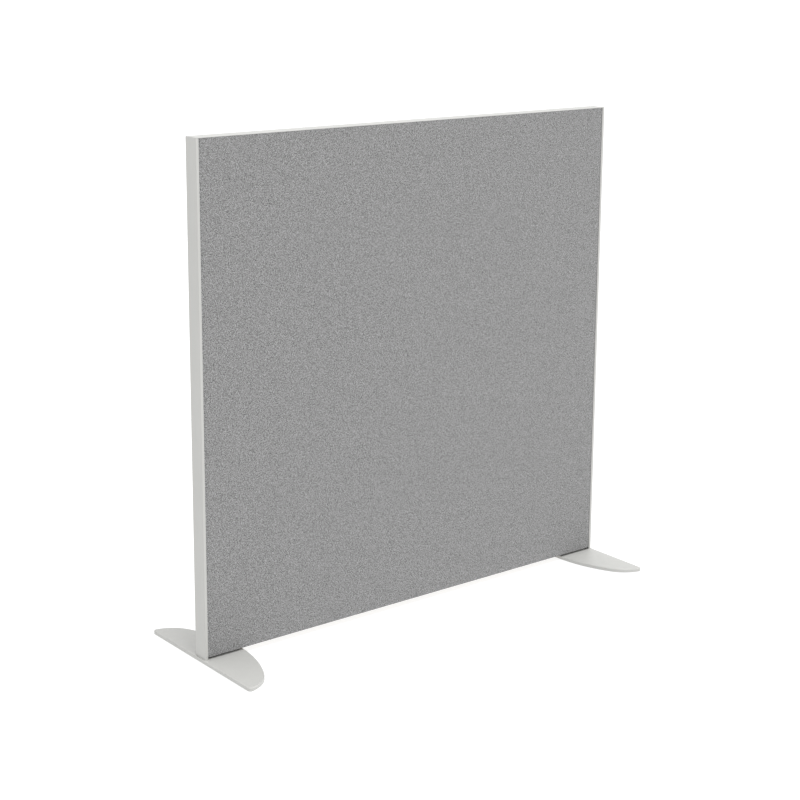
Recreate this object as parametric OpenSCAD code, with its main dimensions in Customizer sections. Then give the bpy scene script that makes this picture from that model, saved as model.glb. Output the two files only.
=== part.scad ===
// Free-standing fabric screen wall.
//
// An upholstered batten panel in slim aluminium edge trims stands on two half-moon
// steel feet. X runs along the wall, Y through it with the front at -Y, and Z up.
// The origin is on the floor, under the middle of the panel.

/* [Screen] */
// Width over the two side trims
screen_w = 1200; // [800:10:1600]
// Height from the floor to the top of the top trim
screen_h = 1180; // [900:10:1500]
// Depth over the trims' lips
screen_t = 42; // [38:1:60]

/* [Trims] */
// Thickness of the lips and of the top strip
trim_wall = 1.5; // [1.2:0.1:1.8]
// Thickness of a side trim's outer web
trim_web = 2; // [1.6:0.1:2.5]
// How far a side trim's lips reach over the fabric face, from the outer face
trim_lip = 7; // [5:0.5:12]
// Radius of the trims' outer corners
trim_corner_r = 1.2; // [0.6:0.1:1.4]
// Radius along the top strip's edges
cap_edge_r = 0.5; // [0.2:0.1:0.5]
// Length of the barbed tongue that holds a trim in its batten
tongue_l = 13; // [10:1:14]
// Thickness of the tongue's stem
tongue_t = 1.6; // [1.2:0.1:2]
// Width over the tongue's barbs
barb_w = 2.8; // [2.4:0.1:3]
// Distance from one barb to the next
barb_pitch = 3; // [2.5:0.5:4]

/* [Upholstery] */
// Thickness of the fabric
fabric_t = 1; // [0.6:0.1:1.5]
// Distance between the two fabrics' hems on the panel's edge
hem_gap = 16; // [16:1:24]
// Thickness of the wadding under the fabric
wadding_t = 3; // [2:0.5:5]
// Thickness of the facing boards
board_t = 3; // [2:0.5:4]

/* [Batten frame] */
// Width of a batten, in the plane of the panel
batten_w = 45; // [44:1:70]
// Width of the groove that takes a tongue
groove_w = 3; // [3:0.1:3.4]
// Diameter of the dowels
dowel_d = 8; // [6:1:8]
// Length of the dowels
dowel_l = 50; // [40:2:50]
// Distance between the two dowels of a joint
dowel_spacing = 16; // [12:1:16]
// Space between the absorber pads and the battens round them
infill_clear = 0.5; // [0.2:0.1:2]

/* [Feet] */
// Length of a foot, front to back
foot_l = 408; // [380:2:500]
// Depth of a foot, from its straight edge to the top of its curve
foot_w = 109; // [104:1:130]
// Thickness of the foot plate
foot_t = 8; // [7:1:10]
// Radius of the curve's two ends
foot_end_r = 90; // [75:5:100]
// How far the end arcs' centres lie behind the straight edge
foot_end_back = 10; // [0:1:12]
// Radius between the straight edge and the curve
foot_corner_r = 8; // [5:1:12]
// Radius along the plate's top edge
foot_edge_r = 2; // [1:0.5:3]
// How far the straight edge stands out past the side trim
foot_out = 4; // [0:1:10]
// Thickness of the rubber strip between the panel and the foot
strip_t = 4.5; // [3:0.5:8]
// Width of the rubber strip
strip_w = 26; // [20:1:30]

/* [Foot fasteners] */
// Distance between a foot's two screws
screw_spacing = 50; // [40:5:50]
// Distance of the outer screw from the panel's end
screw_inset = 28; // [26:1:30]
// Length of an insert, without its flange
insert_l = 18; // [14:1:18]

/* [Floor pads] */
// Diameter of a pad
pad_d = 22; // [16:1:26]
// Thickness of a pad
pad_t = 2; // [1.5:0.5:4]

/* [Hidden] */
$fn = 96;
PAST = 1; // how far a cutter runs past the faces that it cuts

// Heights
plate_z = pad_t;
strip_z = plate_z + foot_t;
panel_z = strip_z + strip_t;
cap_z = screen_h - trim_wall;
panel_h = cap_z - panel_z;

// Panel layers, as half depths measured from its middle plane
fabric_y = screen_t / 2 - trim_wall;
wadding_y = fabric_y - fabric_t;
board_y = wadding_y - wadding_t;
batten_y = board_y - board_t;
panel_x = screen_w / 2 - trim_web;

// The panel inside its fabric
core_x = panel_x - fabric_t;
core_z = panel_z + fabric_t;
core_h = panel_h - 2 * fabric_t;
core_top = core_z + core_h;
bay_x = core_x - batten_w;
bay_z = core_z + batten_w;
bay_h = core_h - 2 * batten_w;
mid_z = core_z + core_h / 2;
hem_y = hem_gap / 2;

// The grooves run a little deeper than the tongues
groove_clear = 0.5;
groove_d = tongue_l - fabric_t + groove_clear;

// Corner dowels sit on the inner side of a side batten, clear of its groove
dowel_edge = 5;
dowel_x = bay_x + dowel_edge + (dowel_d + dowel_spacing) / 2;

// Feet: the curve is a wide middle arc, two end arcs and two corner arcs, each running smoothly into
// the next. The _c values are their centres' distances from the middle of the foot, and mid_back
// is how far the middle arc's centre lies behind those of the end arcs.
foot_x = screen_w / 2 + foot_out;
corner_a = asin((foot_corner_r + foot_end_back) / (foot_end_r - foot_corner_r));
corner_c = foot_l / 2 - foot_corner_r;
end_c = corner_c - (foot_end_r - foot_corner_r) * cos(corner_a);
rise = foot_w + foot_end_back - foot_end_r;
mid_back = (end_c * end_c - rise * rise) / (2 * rise);
mid_y = -foot_end_back - mid_back;
mid_r = foot_w - mid_y;
mid_a = atan2(mid_back, end_c);
arc_steps = 12;  // straight pieces in each arc of the outline
edge_steps = 6;  // and in the round along the plate's top edge

// M8 countersunk screws, which end just inside their inserts
screw_r = 3.95;
screw_head_r = 8;
screw_head_h = 4;
screw_end_gap = 1.5;
screw_l = foot_t + strip_t + fabric_t + insert_l - screw_end_gap;
screw_hole_r = 4.2;
countersink_r = screw_head_r + 0.2;
socket_af = 5;
socket_h = 3;
insert_bore_r = 4.05;
insert_r = 5.5;
insert_flange_r = 7.5;
screw_xs = [for (i = [0, 1]) panel_x - screw_inset - i * screw_spacing];

// The rubber strips reach past the inner screw and stop short of the side trim
strip_overrun = 16;
strip_end_gap = 3;
strip_x0 = screw_xs[1] - strip_overrun;
strip_x1 = panel_x - strip_end_gap;
strip_corner_r = 3;

// Floor pads: places from a foot's straight edge and from its middle, as shares of its size
pad_places = [
    [0.25 * foot_w, 0.4 * foot_l],
    [0.65 * foot_w, 0.24 * foot_l]
];

// Colours
POWDER_GREY = "#d4d4d1";
FABRIC_GREY = "#969696";
WADDING = "#f2f0ea";
HARDBOARD = "#8a6a48";
PINE = "#d9bd8b";
BEECH = "#c99f6b";
ABSORBER = "#b9bec2";
ZINC = "#b8bcc0";
RUBBER = "#2b2b2b";

// ---- Helpers ----

// A rectangle with true round corners, centred
module rounded_rect(w, h, r) {
    square([w - 2 * r, h], center = true);
    square([w, h - 2 * r], center = true);
    for (sx = [-1, 1], sy = [-1, 1])
        translate([sx * (w / 2 - r), sy * (h / 2 - r)]) circle(r);
}

// A block between two heights, centred on the middle plane
module slab(half_x, y0, y1, z0, h) {
    translate([-half_x, y0, z0]) cube([2 * half_x, y1 - y0, h]);
}

// The copy of a part at the other end of the wall
module other_end() {
    mirror([1, 0, 0]) children();
}

// The copy of a part on the other face of the wall
module other_face() {
    mirror([0, 1, 0]) children();
}

// A tongue's outline. It runs from the origin along -X, its barbs hold against a pull along +X,
// and its root reaches into the wall that carries it.
module tongue_outline() {
    barb_l = 2;
    barbs = floor((tongue_l - barb_l) / barb_pitch);
    translate([-tongue_l, -tongue_t / 2]) square([tongue_l + trim_wall / 2, tongue_t]);
    for (i = [1 : barbs])
        translate([-i * barb_pitch, 0]) polygon([
            [0, -barb_w / 2], [0, barb_w / 2], [-barb_l, tongue_t / 2], [-barb_l, -tongue_t / 2]
        ]);
}

// ---- Trims ----

// A side trim's section: a web with two round-tipped lips
module side_trim_outline() {
    outer = screen_w / 2;
    tip_r = trim_wall / 2;
    intersection() {
        translate([outer - trim_lip, 0]) rounded_rect(2 * trim_lip, screen_t, trim_corner_r);
        union() {
            translate([panel_x, -screen_t / 2]) square([trim_web, screen_t]);
            for (side = [-1, 1])
                translate([outer - trim_lip + tip_r, side * (screen_t / 2 - tip_r)]) {
                    translate([0, -tip_r]) square([trim_lip - tip_r, trim_wall]);
                    circle(tip_r);
                }
        }
    }
}

// A side trim stands on its foot. Its tongue stops short of the frame's corners.
module side_trim_right() {
    color(POWDER_GREY) {
        translate([0, 0, strip_z]) linear_extrude(cap_z - strip_z) side_trim_outline();
        translate([panel_x, 0, bay_z]) linear_extrude(bay_h) tongue_outline();
    }
}

module side_trim_left() {
    other_end() side_trim_right();
}

// The top trim is a flat strip that closes the side trims' upper ends
module top_trim() {
    color(POWDER_GREY) {
        intersection() {
            translate([0, 0, cap_z]) linear_extrude(trim_wall)
                rounded_rect(screen_w, screen_t, trim_corner_r);
            translate([0, 0, cap_z + trim_wall / 2]) rotate([90, 0, 90])
                linear_extrude(screen_w, center = true)
                    rounded_rect(screen_t, trim_wall, cap_edge_r);
        }
        translate([-bay_x, 0, cap_z]) rotate(180, [1, 0, 1]) linear_extrude(2 * bay_x)
            tongue_outline();
    }
}

// ---- Upholstery ----

// One face of fabric, wrapped over the panel's four edges
module front_fabric() {
    color(FABRIC_GREY) difference() {
        slab(panel_x, -fabric_y, -hem_y, panel_z, panel_h);
        slab(core_x, -wadding_y, fabric_y, core_z, core_h);
    }
}

module rear_fabric() {
    other_face() front_fabric();
}

module front_wadding() {
    color(WADDING) slab(core_x, -wadding_y, -board_y, core_z, core_h);
}

module rear_wadding() {
    other_face() front_wadding();
}

module front_board() {
    color(HARDBOARD) slab(core_x, -board_y, -batten_y, core_z, core_h);
}

module rear_board() {
    other_face() front_board();
}

// ---- Batten frame ----

// The dowels' axes: upright ones at the four corners, level ones at the middle batten's ends
module at_corner_dowels() {
    for (end = [-1, 1], z = [bay_z, bay_z + bay_h], i = [-1, 1])
        translate([end * (dowel_x + i * dowel_spacing / 2), 0, z]) children();
}

module at_mid_dowels() {
    for (end = [-1, 1], i = [-1, 1])
        translate([end * bay_x, 0, mid_z + i * dowel_spacing / 2]) rotate([0, 90, 0]) children();
}

module dowel() {
    cylinder(h = dowel_l, d = dowel_d, center = true);
}

module dowels() {
    at_corner_dowels() dowel();
    at_mid_dowels() dowel();
}

module right_batten() {
    color(PINE) difference() {
        translate([bay_x, -batten_y, bay_z]) cube([batten_w, 2 * batten_y, bay_h]);
        translate([core_x - groove_d, -groove_w / 2, bay_z - PAST])
            cube([groove_d + PAST, groove_w, bay_h + 2 * PAST]);
        dowels();
    }
}

module left_batten() {
    other_end() right_batten();
}

module top_batten() {
    color(PINE) difference() {
        slab(core_x, -batten_y, batten_y, bay_z + bay_h, batten_w);
        slab(core_x + PAST, -groove_w / 2, groove_w / 2, core_top - groove_d, groove_d + PAST);
        dowels();
    }
}

module bottom_batten() {
    color(PINE) difference() {
        slab(core_x, -batten_y, batten_y, core_z, batten_w);
        dowels();
        at_foot_screws() translate([0, 0, core_z - PAST]) cylinder(h = insert_l + PAST, r = insert_r);
    }
}

module mid_batten() {
    color(PINE) difference() {
        slab(bay_x, -batten_y, batten_y, mid_z - batten_w / 2, batten_w);
        dowels();
    }
}

module frame_dowels() {
    color(BEECH) dowels();
}

// An absorber pad fills one of the two bays
module absorber(z0, z1) {
    color(ABSORBER) slab(bay_x - infill_clear, infill_clear - batten_y, batten_y - infill_clear,
        z0 + infill_clear, z1 - z0 - 2 * infill_clear);
}

module upper_absorber() {
    absorber(mid_z + batten_w / 2, bay_z + bay_h);
}

module lower_absorber() {
    absorber(bay_z, mid_z - batten_w / 2);
}

// ---- Feet ----

// Points on an arc after its start at angle a0, up to its end at a1
function arc_points(centre, r, a0, a1) = [
    for (i = [1 : arc_steps])
        let (a = a0 + (a1 - a0) * i / arc_steps)
        centre + r * [cos(a), sin(a)]
];

// A foot's outline moved in by inset, anticlockwise from the straight edge's right end
function foot_outline(inset) =
    let (right = concat(
        [[corner_c, inset]],
        arc_points([corner_c, foot_corner_r], foot_corner_r - inset, -90, corner_a),
        arc_points([end_c, -foot_end_back], foot_end_r - inset, corner_a, mid_a),
        arc_points([0, mid_y], mid_r - inset, mid_a, 90)
    ))
    concat(right, [for (i = [len(right) - 2 : -1 : 0]) [-right[i].x, right[i].y]]);

// The plate's levels, as [inset, height]: its underside, and then the round of its top edge
foot_levels = concat([[0, 0]], [
    for (i = [0 : edge_steps])
        let (a = 90 * i / edge_steps)
        [foot_edge_r * (1 - cos(a)), foot_t - foot_edge_r * (1 - sin(a))]
]);

// A half-moon plate lying on z = 0. Its straight edge is on the X axis and its curve faces +Y.
module half_moon() {
    n = len(foot_outline(0));
    top = len(foot_levels) - 1;
    polyhedron(
        points = [
            for (level = foot_levels, p = foot_outline(level[0])) [p.x, p.y, level[1]]
        ],
        faces = concat(
            [[for (i = [0 : n - 1]) i]],
            [[for (i = [n - 1 : -1 : 0]) top * n + i]],
            [for (k = [0 : top - 1], i = [0 : n - 1])
                let (j = (i + 1) % n)
                [k * n + i, (k + 1) * n + i, (k + 1) * n + j, k * n + j]]
        )
    );
}

// Where the right foot's screws are
module at_right_screws() {
    for (x = screw_xs) translate([x, 0, 0]) children();
}

// Where all four foot screws are
module at_foot_screws() {
    at_right_screws() children();
    other_end() at_right_screws() children();
}

module foot_right() {
    color(POWDER_GREY) difference() {
        translate([foot_x, 0, plate_z]) rotate([0, 0, 90]) half_moon();
        at_right_screws() {
            translate([0, 0, plate_z])
                cylinder(h = screw_head_h, r1 = countersink_r, r2 = screw_hole_r);
            translate([0, 0, plate_z - PAST]) cylinder(h = foot_t + 2 * PAST, r = screw_hole_r);
        }
    }
}

module foot_left() {
    other_end() foot_right();
}

module foot_strip_right() {
    strip_l = strip_x1 - strip_x0;
    color(RUBBER) difference() {
        translate([strip_x0 + strip_l / 2, 0, strip_z]) linear_extrude(strip_t)
            rounded_rect(strip_l, strip_w, strip_corner_r);
        at_right_screws() translate([0, 0, strip_z - PAST])
            cylinder(h = strip_t + 2 * PAST, r = screw_hole_r);
    }
}

module foot_strip_left() {
    other_end() foot_strip_right();
}

// A countersunk screw with a hexagon socket, head down
module foot_screw() {
    difference() {
        union() {
            cylinder(h = screw_head_h, r1 = screw_head_r, r2 = screw_r);
            cylinder(h = screw_l, r = screw_r);
        }
        translate([0, 0, -PAST]) cylinder(h = socket_h + PAST, d = socket_af / cos(30), $fn = 6);
    }
}

module foot_screws() {
    color(ZINC) at_foot_screws() translate([0, 0, plate_z]) foot_screw();
}

// A flanged insert, screwed into the bottom batten from below
module threaded_insert() {
    difference() {
        union() {
            cylinder(h = fabric_t, r = insert_flange_r);
            cylinder(h = fabric_t + insert_l, r = insert_r);
        }
        translate([0, 0, -PAST])
            cylinder(h = fabric_t + insert_l + 2 * PAST, r = insert_bore_r);
    }
}

module threaded_inserts() {
    color(ZINC) at_foot_screws() translate([0, 0, panel_z]) threaded_insert();
}

// Round pads stuck under the two feet
module floor_pads() {
    color(RUBBER) for (end = [-1, 1], side = [-1, 1], place = pad_places)
        translate([end * (foot_x - place[0]), side * place[1], 0]) cylinder(h = pad_t, d = pad_d);
}

// ---- Parts ----

side_trim_left();
side_trim_right();
top_trim();
front_fabric();
rear_fabric();
front_wadding();
rear_wadding();
front_board();
rear_board();
left_batten();
right_batten();
top_batten();
bottom_batten();
mid_batten();
frame_dowels();
upper_absorber();
lower_absorber();
foot_left();
foot_right();
foot_strip_left();
foot_strip_right();
foot_screws();
threaded_inserts();
floor_pads();
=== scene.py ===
"""Looks of the free-standing fabric screen wall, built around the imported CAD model.

The steel, aluminium, wood and rubber pieces stay as the CAD made them and get procedural
materials. The two fabrics, the waddings under them and the absorber pads are made here.
Everything is in metres, in the CAD frame: X along the wall, front at -Y, Z up.
"""

import math

import bpy
from mathutils import Matrix, Vector, noise


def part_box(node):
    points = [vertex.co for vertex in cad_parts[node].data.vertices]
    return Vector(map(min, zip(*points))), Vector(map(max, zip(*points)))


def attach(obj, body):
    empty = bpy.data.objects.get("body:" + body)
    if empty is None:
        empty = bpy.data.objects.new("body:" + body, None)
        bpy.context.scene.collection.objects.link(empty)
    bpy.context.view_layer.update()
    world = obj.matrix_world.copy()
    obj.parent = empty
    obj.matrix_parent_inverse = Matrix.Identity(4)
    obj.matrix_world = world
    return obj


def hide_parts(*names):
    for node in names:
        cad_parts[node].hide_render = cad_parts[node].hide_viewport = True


MM = 0.001
BODY = "root"

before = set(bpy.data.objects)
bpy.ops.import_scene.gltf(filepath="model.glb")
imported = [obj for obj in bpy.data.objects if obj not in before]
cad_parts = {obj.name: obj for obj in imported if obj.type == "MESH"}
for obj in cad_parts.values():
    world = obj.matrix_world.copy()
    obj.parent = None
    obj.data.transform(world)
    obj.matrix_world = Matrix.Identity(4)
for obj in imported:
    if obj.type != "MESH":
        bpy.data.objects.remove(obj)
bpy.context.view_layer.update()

# ---- Camera ----

CAMERA_PLACE = Vector((-2.494, -3.101, 1.585))
CAMERA_YAW = 38.41  # degrees to the right of +Y
CAMERA_PITCH = -12.44
CAMERA_ROLL = 0.38
CAMERA_LENS = 77.38
CAMERA_SHIFT = -0.10
CAMERA_CLIP = 200  # metres, past the floor's far edge


def make_camera():
    """The photograph's view."""
    data = bpy.data.cameras.new("camera")
    data.lens = CAMERA_LENS
    data.shift_y = CAMERA_SHIFT
    data.clip_end = CAMERA_CLIP
    camera = bpy.data.objects.new("camera", data)
    bpy.context.scene.collection.objects.link(camera)
    turns = (
        Matrix.Rotation(math.radians(-CAMERA_YAW), 4, "Z")
        @ Matrix.Rotation(math.radians(90 + CAMERA_PITCH), 4, "X")
        @ Matrix.Rotation(math.radians(CAMERA_ROLL), 4, "Z")
    )
    camera.matrix_world = Matrix.Translation(CAMERA_PLACE) @ turns
    bpy.context.scene.camera = camera


# ---- Material tools ----


class Paint:
    """A procedural material being built. Its coordinates are the frame's own, in millimetres."""

    def __init__(self, name, **uniform):
        self.material = bpy.data.materials.new(name)
        self.material.use_nodes = True
        self.tree = self.material.node_tree
        self.shader = self.tree.nodes["Principled BSDF"]
        for socket, value in uniform.items():
            self.shader.inputs[socket.replace("_", " ")].default_value = value
        place = self.node("ShaderNodeTexCoord").outputs["Object"]
        self.place = self.vector("SCALE", place, scale=1 / MM)

    def node(self, kind, **settings):
        made = self.tree.nodes.new(kind)
        for name, value in settings.items():
            setattr(made, name, value)
        return made

    def feed(self, socket, value):
        """Links value to the socket if it is a node's output, and sets the socket otherwise."""
        if isinstance(value, bpy.types.NodeSocket):
            self.tree.links.new(value, socket)
        else:
            socket.default_value = value

    def math(self, operation, *values, clamp=False):
        made = self.node("ShaderNodeMath", operation=operation, use_clamp=clamp)
        for socket, value in zip(made.inputs, values):
            self.feed(socket, value)
        return made.outputs[0]

    def vector(self, operation, first, second=None, scale=None):
        made = self.node("ShaderNodeVectorMath", operation=operation)
        self.feed(made.inputs[0], first)
        if second is not None:
            self.feed(made.inputs[1], second)
        if scale is not None:
            self.feed(made.inputs["Scale"], scale)
        return made.outputs["Value" if operation == "DOT_PRODUCT" else "Vector"]

    def axes(self, vector):
        return self.fed("ShaderNodeSeparateXYZ", vector).outputs

    def join(self, *values):
        return self.fed("ShaderNodeCombineXYZ", *values).outputs[0]

    def fed(self, kind, *values):
        """A node with its first sockets fed in order."""
        made = self.node(kind)
        for socket, value in zip(made.inputs, values):
            self.feed(socket, value)
        return made

    def noise(self, size, detail=2.0, place=None, dimensions="3D"):
        """Noise whose grains are about size millimetres across: one number, or one for each axis."""
        sizes = size if hasattr(size, "__len__") else (size,) * 3
        scaled = self.vector("DIVIDE", place or self.place, sizes)
        made = self.node("ShaderNodeTexNoise", noise_dimensions=dimensions)
        self.feed(made.inputs["Vector"], scaled)
        made.inputs["Scale"].default_value = 1
        made.inputs["Detail"].default_value = detail
        return made.outputs["Fac"]

    def spread(self, value, low, high, to_low=0.0, to_high=1.0):
        """Maps low to high onto another range, and holds its ends."""
        made = self.node("ShaderNodeMapRange")
        for socket, number in zip(made.inputs, (value, low, high, to_low, to_high)):
            self.feed(socket, number)
        return made.outputs[0]

    def mix(self, share, first, second):
        made = self.node("ShaderNodeMix", data_type="RGBA")
        factor, colour_a, colour_b = (made.inputs[k] for k in (0, 6, 7))  # the RGBA sockets
        self.feed(factor, share)
        self.feed(colour_a, first)
        self.feed(colour_b, second)
        return made.outputs[2]

    def rubbed_and_highlit_edge(self, radius):
        """1 on edges of a piece and 0 on its faces, from how a rounded normal differs."""
        rounded = self.node("ShaderNodeBevel", samples=6)
        rounded.inputs["Radius"].default_value = radius * MM
        plain = self.node("ShaderNodeNewGeometry").outputs["Normal"]
        likeness = self.vector("DOT_PRODUCT", rounded.outputs[0], plain)
        return self.spread(likeness, 0.98, 0.8)

    def finish(self, colour, roughness, *reliefs):
        """Connects the colour and the roughness, and bumps from (height, depth in mm) pairs."""
        self.feed(self.shader.inputs["Base Color"], colour)
        self.feed(self.shader.inputs["Roughness"], roughness)
        normal = None
        for height, depth in reliefs:
            bump = self.node("ShaderNodeBump")
            bump.inputs["Distance"].default_value = depth * MM
            self.feed(bump.inputs["Height"], height)
            if normal is not None:
                self.feed(bump.inputs["Normal"], normal)
            normal = bump.outputs[0]
        if normal is not None:
            self.feed(self.shader.inputs["Normal"], normal)
        return self.material


def grey(value, blue=1.0):
    """A linear grey as a colour, with its blue scaled."""
    return (value, value, value * blue, 1)


# ---- Materials ----


def powder_coat(name, edge, rub_and_highlight):
    """Pale grey powder coat: a fine orange peel, faint clouding, and edges painted lighter and smoother,
    partly as rubbed paint and partly as a painted highlight on the rounded edges.

    edge is how far from an edge the lightening reaches, in mm, and the last argument is how strongly it
    shows there.
    """
    paint = Paint(name, Specular_IOR_Level=0.5)
    clouds = paint.noise(140, 3)
    grains = paint.noise(0.9, 2)
    scuffs = paint.noise((18, 18, 60), 4)
    rubbed_and_lit = paint.rubbed_and_highlit_edge(edge)
    colour = paint.mix(clouds, grey(0.418, 0.965), grey(0.446, 0.965))
    colour = paint.mix(paint.spread(grains, 0.35, 0.65, 0.0, 0.12), colour, grey(0.36, 0.965))
    # Painted highlight: the edges are lighter, partly as rubbed paint and partly as a painted highlight
    # where the rounded edges catch the light.
    colour = paint.mix(paint.math("MULTIPLY", rubbed_and_lit, rub_and_highlight), colour, grey(0.52, 0.97))
    roughness = paint.spread(scuffs, 0.3, 0.7, 0.34, 0.48)
    roughness = paint.math("SUBTRACT", roughness, paint.math("MULTIPLY", rubbed_and_lit, 0.08))
    return paint.finish(colour, roughness, (grains, 0.035), (clouds, 0.3))


YARN = 1.1  # mm from one yarn to the next
DRIFT_LENGTH = 9  # mm over which the yarns drift from their lines
DRIFT = 2.4  # mm between the two ends of their drift
SLUB_LENGTH = 2.6  # mm, size of a yarn's thick and thin places
SLUB = 1.3  # mm by which those move its edges, end to end
WEFT_SHIFT = 71.0  # mm, keeps the weft's noise apart from the warp's
LAYER_SHIFT = 40.0  # the same for their tones
YARN_STEP = 3.37  # noise places from one yarn's tone to the next
WRAP_START = 0.5  # mm behind the CAD face, from where the fabric counts as wrapped
FIBRE_WIDTH = 0.16  # mm
FIBRE_LENGTH = 1.6  # mm
FLECK = 3.0  # mm along a yarn from one fleck to the next
CREPE = 2.9  # mm, size of the crepe's uneven puckers
YARN_SHARE = 0.73  # how much of the fabric's tone comes from its yarns; the rest is painted light and shade of the puckers
FABRIC_DARK = 0.026
FABRIC_LIGHT = 0.451


def weave_place(paint):
    """Places on the fabric before it was wrapped, in mm, so that the weave runs on round the edges."""
    x, y, z = paint.axes(paint.place)
    low, high = (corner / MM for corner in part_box("front_fabric"))
    behind = paint.math("SUBTRACT", -low.y - WRAP_START, paint.math("ABSOLUTE", y))
    wrapped = paint.math("MAXIMUM", behind, 0.0)
    above_middle = paint.math("SUBTRACT", z, (low.z + high.z) / 2)
    u = paint.math("ADD", x, paint.math("MULTIPLY", paint.math("SIGN", x), wrapped))
    v = paint.math("ADD", z, paint.math("MULTIPLY", paint.math("SIGN", above_middle), wrapped))
    side = paint.math("SIGN", y)
    return u, v, side


def yarn_tone(paint, yarn, along, layer):
    """How light each yarn is, changing from yarn to yarn and along its length."""
    number = paint.math("MULTIPLY", paint.math("FLOOR", yarn), YARN_STEP)
    place = paint.join(number, paint.math("DIVIDE", along, FLECK), layer)
    return paint.spread(paint.noise(1, 1, place), 0.38, 0.62)


def yarn_places(paint, distance, flat, shift):
    """Counts yarns along a distance in mm. They wander a little, and their thickness is uneven."""
    moved = paint.vector("ADD", flat, (shift, shift, shift))
    drift = paint.math("SUBTRACT", paint.noise(DRIFT_LENGTH, 1, moved), 0.5)
    wander = paint.math("MULTIPLY", drift, DRIFT)
    slubs = paint.math("SUBTRACT", paint.noise(SLUB_LENGTH, 1, moved), 0.5)
    uneven = paint.math("MULTIPLY", slubs, SLUB)
    strayed = paint.math("ADD", distance, paint.math("ADD", wander, uneven))
    return paint.math("DIVIDE", strayed, YARN)


def choose(paint, choice, if_zero, if_one):
    """if_zero where choice is 0, and if_one where it is 1."""
    difference = paint.math("SUBTRACT", if_one, if_zero)
    return paint.math("ADD", if_zero, paint.math("MULTIPLY", choice, difference))


def screen_fabric():
    """A grey wool mix in plain weave. Each yarn is flecked lighter and darker along its length."""
    paint = Paint("screen_fabric_weave", Sheen_Weight=0.12, Sheen_Roughness=0.5, Specular_IOR_Level=0.2)
    u, v, side = weave_place(paint)
    flat = paint.join(u, v, side)
    warp = yarn_places(paint, u, flat, 0.0)
    weft = yarn_places(paint, v, flat, WEFT_SHIFT)
    warp_wave = paint.math("SINE", paint.math("MULTIPLY", warp, math.pi))
    weft_wave = paint.math("SINE", paint.math("MULTIPLY", weft, math.pi))
    warp_on_top = paint.math("GREATER_THAN", paint.math("MULTIPLY", warp_wave, weft_wave), 0.0)
    warp_round = paint.math("ABSOLUTE", warp_wave)
    weft_round = paint.math("ABSOLUTE", weft_wave)
    across = choose(paint, warp_on_top, weft_round, warp_round)
    lengthwise = choose(paint, warp_on_top, warp_round, weft_round)
    round_across = paint.math("POWER", across, 0.75)
    flatter_along = paint.math("POWER", lengthwise, 0.3)
    height = paint.math("MULTIPLY", round_across, flatter_along)
    warp_tone = yarn_tone(paint, warp, v, side)
    weft_tone = yarn_tone(paint, weft, u, paint.math("ADD", side, LAYER_SHIFT))
    tone = choose(paint, warp_on_top, weft_tone, warp_tone)
    # Painted light and shade: the crepe's puckers lighten and darken the tone, with the same noise as their
    # bump.
    crepe = paint.noise(CREPE, 0, flat, "2D")
    pucker_light_and_shade = paint.spread(crepe, 0.3, 0.7, 0, 1 - YARN_SHARE)
    tone = paint.math("ADD", paint.math("MULTIPLY", tone, YARN_SHARE), pucker_light_and_shade)
    fibre_place = paint.join(
        paint.math("DIVIDE", choose(paint, warp_on_top, v, u), FIBRE_WIDTH),
        paint.math("DIVIDE", choose(paint, warp_on_top, u, v), FIBRE_LENGTH),
        side,
    )
    fibres = paint.noise(1, 2, fibre_place)
    fuzz = paint.noise(0.35, 3, flat)
    colour = paint.mix(tone, grey(FABRIC_DARK), grey(FABRIC_LIGHT))
    # Painted shade: the hollows between the yarns, where the weave is low, are darkened.
    hollow_shade = paint.spread(height, 0.0, 0.9, 0.5, 0.0)
    colour = paint.mix(hollow_shade, colour, grey(0.08))
    colour = paint.mix(paint.spread(fibres, 0.5, 0.75, 0.0, 0.35), colour, grey(0.5))
    colour = paint.mix(paint.spread(fuzz, 0.55, 0.8, 0.0, 0.3), colour, grey(0.42))
    roughness = paint.spread(fuzz, 0.2, 0.8, 0.82, 0.96)
    return paint.finish(colour, roughness, (height, 0.3), (crepe, 0.25), (fibres, 0.06), (fuzz, 0.1))


def wadding():
    """White polyester wadding, matted and a little cloudy."""
    paint = Paint("wadding_fleece", Sheen_Weight=0.3, Sheen_Roughness=0.6, Specular_IOR_Level=0.1)
    tufts = paint.noise(9, 4)
    fibres = paint.noise((2.5, 2.5, 0.6), 3)
    colour = paint.mix(tufts, grey(0.62, 0.96), grey(0.76, 0.98))
    return paint.finish(colour, paint.spread(fibres, 0.2, 0.8, 0.88, 0.98), (tufts, 1.2), (fibres, 0.3))


def absorber_wool():
    """Pressed grey absorber felt with pale and dark fibres."""
    paint = Paint("absorber_felt", Sheen_Weight=0.1, Specular_IOR_Level=0.1)
    clumps = paint.noise(14, 4)
    fibres = paint.noise((4, 4, 0.7), 4)
    colour = paint.mix(clumps, grey(0.30, 1.04), grey(0.46, 1.04))
    colour = paint.mix(paint.spread(fibres, 0.55, 0.75, 0.0, 0.6), colour, grey(0.7))
    return paint.finish(colour, paint.spread(fibres, 0.2, 0.8, 0.86, 0.97), (clumps, 1.0), (fibres, 0.4))


def hardboard():
    """Brown hardboard with its fine pressed fibres."""
    paint = Paint("hardboard_fibre", Specular_IOR_Level=0.35)
    fibres = paint.noise((2.2, 2.2, 0.8), 4)
    clouds = paint.noise(60, 3)
    colour = paint.mix(paint.spread(fibres, 0.3, 0.7), (0.16, 0.085, 0.04, 1), (0.32, 0.19, 0.10, 1))
    colour = paint.mix(paint.math("MULTIPLY", clouds, 0.4), colour, (0.25, 0.15, 0.08, 1))
    return paint.finish(colour, paint.spread(fibres, 0.2, 0.8, 0.55, 0.75), (fibres, 0.08))


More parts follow.
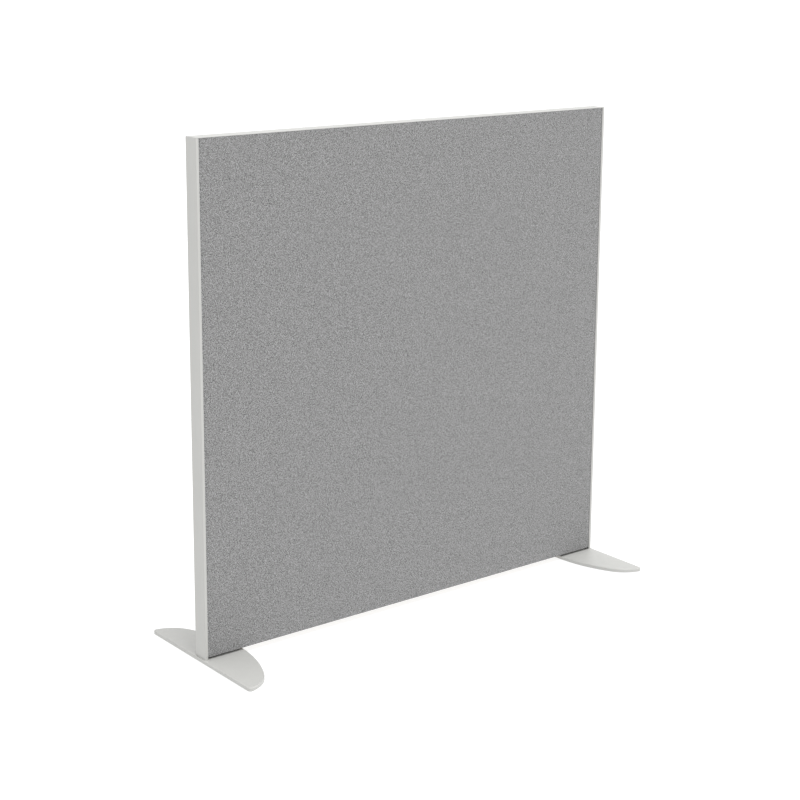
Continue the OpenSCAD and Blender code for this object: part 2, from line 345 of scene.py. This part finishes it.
def timber(name, grain, pale, dark, ring=5.0):
    """Planed wood. grain is its direction as a unit vector, and ring the spacing of its year rings."""
    paint = Paint(name, Specular_IOR_Level=0.3)
    stretch = tuple(1 + 24 * abs(part) for part in grain)
    bend = paint.noise(tuple(30 * part for part in stretch), 2)
    rings = paint.noise(tuple(ring * part for part in stretch), 3)
    banded = paint.math("SINE", paint.math("MULTIPLY", paint.math("ADD", bend, rings), 26.0))
    pores = paint.noise(tuple(0.5 * part for part in stretch), 2)
    colour = paint.mix(paint.spread(banded, -1.0, 1.0), pale, dark)
    colour = paint.mix(paint.spread(pores, 0.55, 0.8, 0.0, 0.5), colour, dark)
    roughness = paint.spread(pores, 0.3, 0.7, 0.5, 0.68)
    return paint.finish(colour, roughness, (banded, 0.03), (pores, 0.05))


def zinc_steel():
    """Bright zinc plate with its faint yellow and blue bloom."""
    paint = Paint("zinc_plate", Metallic=1.0)
    bloom = paint.noise(5, 2)
    spots = paint.noise(0.6, 3)
    colour = paint.mix(bloom, (0.60, 0.61, 0.66, 1), (0.68, 0.66, 0.58, 1))
    return paint.finish(colour, paint.spread(spots, 0.25, 0.75, 0.28, 0.46), (spots, 0.02))


def rubber():
    """Dull dark rubber with a fine moulded grain and a little dust."""
    paint = Paint("rubber_grain", Specular_IOR_Level=0.35)
    grain = paint.noise(0.7, 3)
    dust = paint.noise(12, 4)
    colour = paint.mix(paint.spread(dust, 0.45, 0.75, 0.0, 0.4), grey(0.022), grey(0.07, 0.92))
    return paint.finish(colour, paint.spread(grain, 0.3, 0.7, 0.6, 0.82), (grain, 0.06))


PINE = ((0.62, 0.50, 0.35, 1), (0.47, 0.35, 0.22, 1))
BEECH = ((0.50, 0.31, 0.16, 1), (0.36, 0.20, 0.09, 1))
UPRIGHT = (0, 0, 1)
LEVEL = (1, 0, 0)


def paint_cad_nodes():
    """Gives each CAD node that stays its material."""
    trim_coat = powder_coat("powder_coat_trims", 0.8, 0.35)
    # The feet's edges get a wider, stronger lightening: a painted highlight on their rounded top edge,
    # along with rubbing.
    foot_coat = powder_coat("powder_coat_feet", 2.2, 0.9)
    pine_upright = timber("softwood_upright", UPRIGHT, *PINE)
    pine_level = timber("softwood_level", LEVEL, *PINE)
    board = hardboard()
    zinc = zinc_steel()
    black = rubber()
    finishes = {
        "side_trim_left": trim_coat,
        "side_trim_right": trim_coat,
        "top_trim": trim_coat,
        "foot_left": foot_coat,
        "foot_right": foot_coat,
        "front_board": board,
        "rear_board": board,
        "left_batten": pine_upright,
        "right_batten": pine_upright,
        "top_batten": pine_level,
        "bottom_batten": pine_level,
        "mid_batten": pine_level,
        "frame_dowels": timber("beech_dowel", UPRIGHT, *BEECH),
        "foot_strip_left": black,
        "foot_strip_right": black,
        "foot_screws": zinc,
        "threaded_inserts": zinc,
        "floor_pads": black,
    }
    for node, material in finishes.items():
        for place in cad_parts[node].material_slots:
            place.material = material


# ---- Soft pieces ----


def spaced(low, high, closer, pitch):
    """Grid lines from low to high: at the distances in closer from both ends, and a pitch apart between."""
    first, last = low + closer[-1], high - closer[-1]
    count = max(1, round((last - first) / pitch))
    middle = [first + (last - first) * i / count for i in range(1, count)]
    return [low + d for d in closer] + middle + [high - d for d in reversed(closer)]


def rim_places(xs, zs):
    """Grid indices round the edge of a face, and the outward direction at each."""
    right, top = len(xs) - 1, len(zs) - 1
    places = (
        [(i, 0) for i in range(right)]
        + [(right, j) for j in range(top)]
        + [(i, top) for i in range(right, 0, -1)]
        + [(0, j) for j in range(top, 0, -1)]
    )
    for i, j in places:
        out = Vector(((i == right) - (i == 0), (j == top) - (j == 0)))
        yield i, j, out.normalized()


def soft_mesh(name, xs, zs, rim, side, closed):
    """A face on the grid of xs and zs with rings round it.

    rim lists (outward, half depth) for the face itself and then for each ring. side is -1 at the
    front of the wall and 1 at its rear. A closed mesh has a second face inside its last ring.
    """
    points = [Vector((x, side * rim[0][1], z)) for z in zs for x in xs]
    columns = len(xs)
    faces = [
        (j * columns + i, j * columns + i + 1, (j + 1) * columns + i + 1, (j + 1) * columns + i)
        for j in range(len(zs) - 1)
        for i in range(columns - 1)
    ]
    edge = list(rim_places(xs, zs))
    ring = [j * columns + i for i, j, _ in edge]
    for outward, depth in rim[1:]:
        start = len(points)
        for i, j, out in edge:
            points.append(Vector((xs[i] + outward * out.x, side * depth, zs[j] + outward * out.y)))
        inner, ring = ring, list(range(start, start + len(edge)))
        for k in range(len(edge)):
            after = (k + 1) % len(edge)
            faces.append((inner[k], ring[k], ring[after], inner[after]))
    if closed:
        back = {(i, j): ring[k] for k, (i, j, _) in enumerate(edge)}
        for j in range(1, len(zs) - 1):
            for i in range(1, columns - 1):
                back[i, j] = len(points)
                points.append(Vector((xs[i], side * rim[-1][1], zs[j])))
        for j in range(len(zs) - 1):
            for i in range(columns - 1):
                faces.append((back[i, j], back[i, j + 1], back[i + 1, j + 1], back[i + 1, j]))
    if side > 0:
        faces = [tuple(reversed(face)) for face in faces]
    mesh = bpy.data.meshes.new(name)
    mesh.from_pydata(points, [], faces)
    mesh.polygons.foreach_set("use_smooth", [True] * len(faces))
    return mesh


def soft_piece(name, mesh, material, node):
    """Puts a soft piece in the place of its CAD solid."""
    piece = bpy.data.objects.new(name, mesh)
    bpy.context.scene.collection.objects.link(piece)
    mesh.materials.append(material)
    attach(piece, BODY)
    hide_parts(node)
    return piece


def quarter_round(radius, depth, steps=4):
    """The (outward, half depth) places of a rounded edge, from a face at depth to its side."""
    turns = [math.pi / 2 * k / steps for k in range(steps + 1)]
    return [(radius * math.sin(a), depth - radius * (1 - math.cos(a))) for a in turns]


FABRIC_THICKNESS = 1 * MM
FABRIC_EDGE = 1.5 * MM  # radius of the fabric round the panel's edges
PADDING = 1.2 * MM  # how far the padded face stands out past its CAD solid
DIP_LENGTH = 8 * MM  # distance over which the side trims' lips press it down
SWELL = 0.2 * MM  # how much further the cloth simulation may take it
TRIM_LIP = 7 * MM  # how far a side trim's lips reach over the fabric
LIP_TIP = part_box("top_trim")[1].x - TRIM_LIP
CLOSER_LINES = [d * MM for d in (0, 1.5, 3, 3.5, 4, 4.8, 5.8, 7, 9, 12, 17, 24)]  # from an edge
GRID_PITCH = 20 * MM
CLOTH_FRAMES = 20
WADDING_EDGE = 1.2 * MM
WADDING_UNEVENNESS = 0.3 * MM
PAD_EDGE = 4 * MM
PAD_UNEVENNESS = 1.0 * MM


def padding(x):
    """How far the padded face stands out past its CAD solid at x: not at all under a lip."""
    share = min(1.0, max(0.0, (LIP_TIP - abs(x)) / DIP_LENGTH))
    return PADDING * share * share * (3 - 2 * share)


def fabric_sheet(node, side, material):
    """One face of fabric, wrapped over the panel's four edges and swollen by the wadding under it."""
    low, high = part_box(node)
    face = max(abs(low.y), abs(high.y))
    hem = min(abs(low.y), abs(high.y))
    xs = spaced(low.x + FABRIC_EDGE, high.x - FABRIC_EDGE, CLOSER_LINES, GRID_PITCH)
    zs = spaced(low.z + FABRIC_EDGE, high.z - FABRIC_EDGE, CLOSER_LINES, GRID_PITCH)
    rim = quarter_round(FABRIC_EDGE, face) + [(FABRIC_EDGE, (face + hem) / 2), (FABRIC_EDGE, hem)]
    mesh = soft_mesh(node, xs, zs, rim, side, False)
    piece = soft_piece(node + "_sheet", mesh, material, node)
    swell(piece, side, face, hem)
    thicken = piece.modifiers.new("thickness", "SOLIDIFY")
    thicken.thickness = FABRIC_THICKNESS
    thicken.offset = -1
    return piece


def swell(piece, side, face, hem):
    """Pushes the fabric out, as the wadding does: by the padding, and by a short cloth simulation.

    The simulation holds it under the side trims' lips and round its edges.
    """
    rest = [v.co.copy() for v in piece.data.vertices]
    low_z = min(p.z for p in rest)
    high_z = max(p.z for p in rest)
    held = []
    for k, p in enumerate(rest):
        under_lip = abs(p.x) > LIP_TIP - 0.5 * MM
        on_side = abs(p.y) < face - 0.1 * MM
        at_end = p.z < low_z + 1.1 * FABRIC_EDGE or p.z > high_z - 1.1 * FABRIC_EDGE
        if under_lip or on_side or at_end:
            held.append(k)
    moved = simulated(piece, held)
    for vertex, start, end in zip(piece.data.vertices, rest, moved):
        rise = max(0.0, side * (end.y - start.y))
        uneven = 0.8 + 0.4 * noise.noise(start * 9)
        out = padding(start.x) + SWELL * uneven * math.tanh(rise / SWELL)
        reach = min(1.0, (abs(start.y) - hem) / (face - hem))
        vertex.co.y = start.y + side * out * reach
    piece.data.update()


def simulated(piece, held):
    """Where a cloth simulation under air pressure takes the vertices of a mesh, some of them held."""
    group = piece.vertex_groups.new(name="held")
    group.add(held, 1.0, "REPLACE")
    cloth = piece.modifiers.new("cloth", "CLOTH")
    settings = cloth.settings
    settings.quality = 5
    settings.mass = 0.3
    settings.tension_stiffness = 30
    settings.compression_stiffness = 30
    settings.bending_stiffness = 1
    settings.use_pressure = True
    settings.uniform_pressure_force = 0.6
    settings.effector_weights.gravity = 0
    settings.vertex_group_mass = "held"
    cloth.point_cache.frame_end = CLOTH_FRAMES
    scene = bpy.context.scene
    for number in range(1, CLOTH_FRAMES + 1):
        scene.frame_set(number)
    shown = piece.evaluated_get(bpy.context.evaluated_depsgraph_get())
    places = [v.co.copy() for v in shown.data.vertices]
    piece.modifiers.remove(cloth)
    piece.vertex_groups.remove(group)
    scene.frame_set(1)
    return places


def soft_slab(node, name, side, radius, unevenness, material, puffed=False):
    """A soft slab with rounded edges and slightly uneven faces, in the place of its CAD solid.

    One that is puffed fills out the fabric over it.
    """
    low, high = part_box(node)
    near, far = sorted((abs(low.y), abs(high.y)))
    if low.y < 0 < high.y:
        near = -far
    xs = spaced(low.x + radius, high.x - radius, CLOSER_LINES, GRID_PITCH)
    zs = spaced(low.z + radius, high.z - radius, CLOSER_LINES, GRID_PITCH)
    front = quarter_round(radius, far)
    back = [(out, near + far - depth) for out, depth in reversed(front)]
    mesh = soft_mesh(name, xs, zs, front + back, side, True)
    middle = side * (near + far) / 2
    for vertex in mesh.vertices:
        dent = unevenness * (0.5 + 0.5 * noise.noise(vertex.co * 25))
        if puffed and abs(vertex.co.y) > abs(middle):
            dent -= padding(vertex.co.x)
        outward = math.copysign(1.0, vertex.co.y - middle)
        vertex.co.y -= outward * dent
    return soft_piece(name, mesh, material, node)


def make_soft_pieces():
    weave = screen_fabric()
    fleece = wadding()
    felt = absorber_wool()
    for place, side in (("front", -1), ("rear", 1)):
        node = place + "_wadding"
        pad = soft_slab(
            node, node + "_sheet", side, WADDING_EDGE, WADDING_UNEVENNESS, fleece, puffed=True
        )
        fabric_sheet(place + "_fabric", side, weave)
    for node in ("upper_absorber", "lower_absorber"):
        pad = soft_slab(node, node + "_pad", -1, PAD_EDGE, PAD_UNEVENNESS, felt)


# ---- Floor and light ----


FLOOR_GLOW = 0.8  # how strongly the light table shines
FLOOR_REACH = 90  # metres from the origin to its edges


def make_floor():
    """A plain white light table, wide enough to meet the dome behind the object."""
    mesh = bpy.data.meshes.new("floor")
    corners = [(x * FLOOR_REACH, y * FLOOR_REACH, 0) for x, y in ((-1, -1), (1, -1), (1, 1), (-1, 1))]
    mesh.from_pydata(corners, [], [(0, 1, 2, 3)])
    floor = bpy.data.objects.new("floor", mesh)
    bpy.context.scene.collection.objects.link(floor)
    glow = {"Emission_Color": (1, 1, 1, 1), "Emission_Strength": FLOOR_GLOW}
    paint = Paint("floor_light_table", Specular_IOR_Level=0.1, **glow)
    clouds = paint.noise(400, 2)
    colour = paint.mix(clouds, grey(0.28), grey(0.32))
    mesh.materials.append(paint.finish(colour, 0.9))


def soft_light(name, origin, share, width):
    """A soft light from the direction of origin: share of the dome's light, width in degrees."""
    data = bpy.data.lights.new(name, "SUN")
    data.angle = math.radians(width)
    data.energy = share * math.pi
    lamp = bpy.data.objects.new(name, data)
    lamp.rotation_euler = Vector(origin).to_track_quat("Z", "Y").to_euler()
    bpy.context.scene.collection.objects.link(lamp)


def make_light():
    """An even white dome, a soft light high above and a weak one from the front."""
    world = bpy.data.worlds.new("dome")
    world.use_nodes = True
    backdrop = world.node_tree.nodes["Background"]
    backdrop.inputs["Color"].default_value = (1, 1, 1, 1)
    backdrop.inputs["Strength"].default_value = 1.0
    bpy.context.scene.world = world
    soft_light("key", (0.14, -0.14, 0.98), 0.69, 40)
    soft_light("fill", (0.15, -0.95, 0.30), 0.22, 60)
    bpy.context.scene.view_settings.view_transform = "Standard"


make_camera()
make_floor()
make_light()
paint_cad_nodes()
make_soft_pieces()
